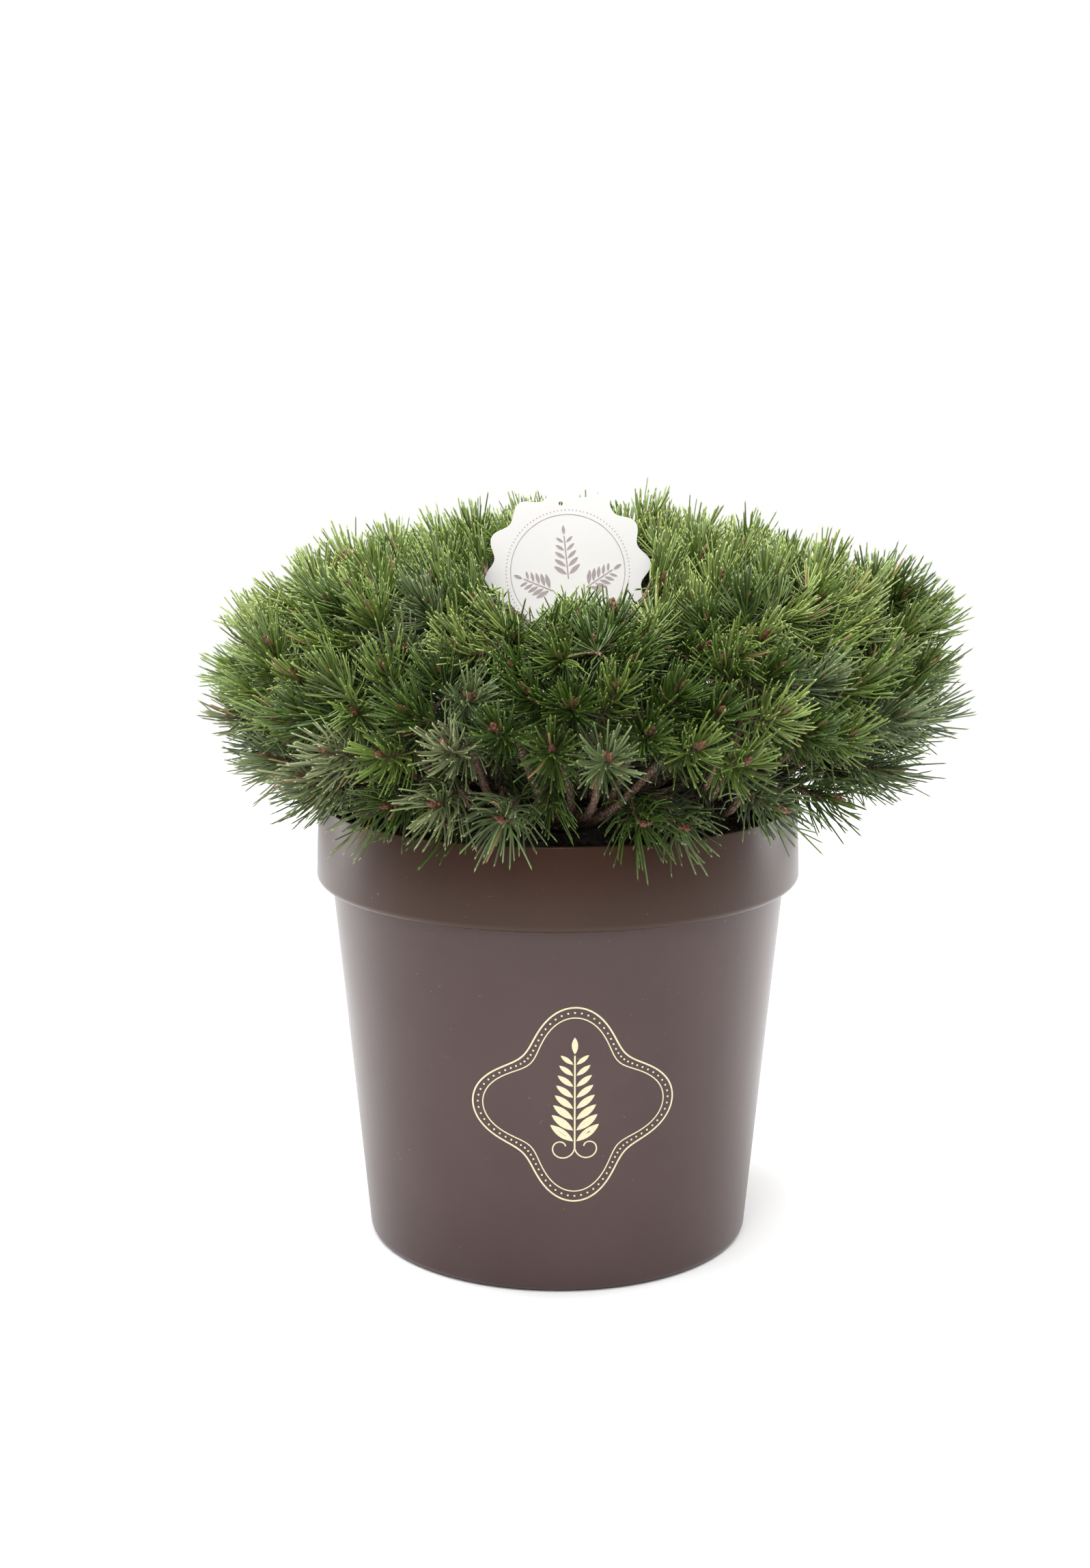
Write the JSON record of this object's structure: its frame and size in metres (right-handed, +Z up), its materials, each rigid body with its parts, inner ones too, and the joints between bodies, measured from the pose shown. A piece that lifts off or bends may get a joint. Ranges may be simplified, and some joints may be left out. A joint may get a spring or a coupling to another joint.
{
  "type": "mugo pine in a nursery pot",
  "caption": "Low dome-shaped mugo pine, masses of needles on boughs from a short trunk, standing in a round tapered nursery pot filled with soil, with a plain label on a stake.",
  "frame": {"origin": "the middle of the pot's flat underside, where the pot stands on the ground", "axes": "+Z up, along the pot's axis; -Y is the side that the picture shows; +X to the right in that view"},
  "size_m": [0.6467, 0.6197, 0.634],
  "materials": {
    "pot_plastic": "satin",
    "soil": "matte",
    "bark": "matte",
    "needles": "matte",
    "label_white": "satin"
  },
  "bodies": {
    "root": {"bough_shoulder_1": "bark", "bough_shoulder_2": "bark", "bough_shoulder_3": "bark", "bough_shoulder_4": "bark", "bough_shoulder_5": "bark", "bough_shoulder_6": "bark", "bough_shoulder_7": "bark", "bough_skirt_1": "bark", "bough_skirt_10": "bark", "bough_skirt_2": "bark", "bough_skirt_3": "bark", "bough_skirt_4": "bark", "bough_skirt_5": "bark", "bough_skirt_6": "bark", "bough_skirt_7": "bark", "bough_skirt_8": "bark", "bough_skirt_9": "bark", "bough_top_1": "bark", "bough_top_2": "bark", "bough_top_3": "bark", "bough_top_4": "bark", "bough_top_5": "bark", "label": "label_white", "mass_shoulder_1": "needles", "mass_shoulder_2": "needles", "mass_shoulder_3": "needles", "mass_shoulder_4": "needles", "mass_shoulder_5": "needles", "mass_shoulder_6": "needles", "mass_shoulder_7": "needles", "mass_skirt_1": "needles", "mass_skirt_10": "needles", "mass_skirt_2": "needles", "mass_skirt_3": "needles", "mass_skirt_4": "needles", "mass_skirt_5": "needles", "mass_skirt_6": "needles", "mass_skirt_7": "needles", "mass_skirt_8": "needles", "mass_skirt_9": "needles", "mass_top_1": "needles", "mass_top_2": "needles", "mass_top_3": "needles", "mass_top_4": "needles", "mass_top_5": "needles", "pot": "pot_plastic", "soil": "soil", "trunk": "bark"}
  },
  "joints": []
}
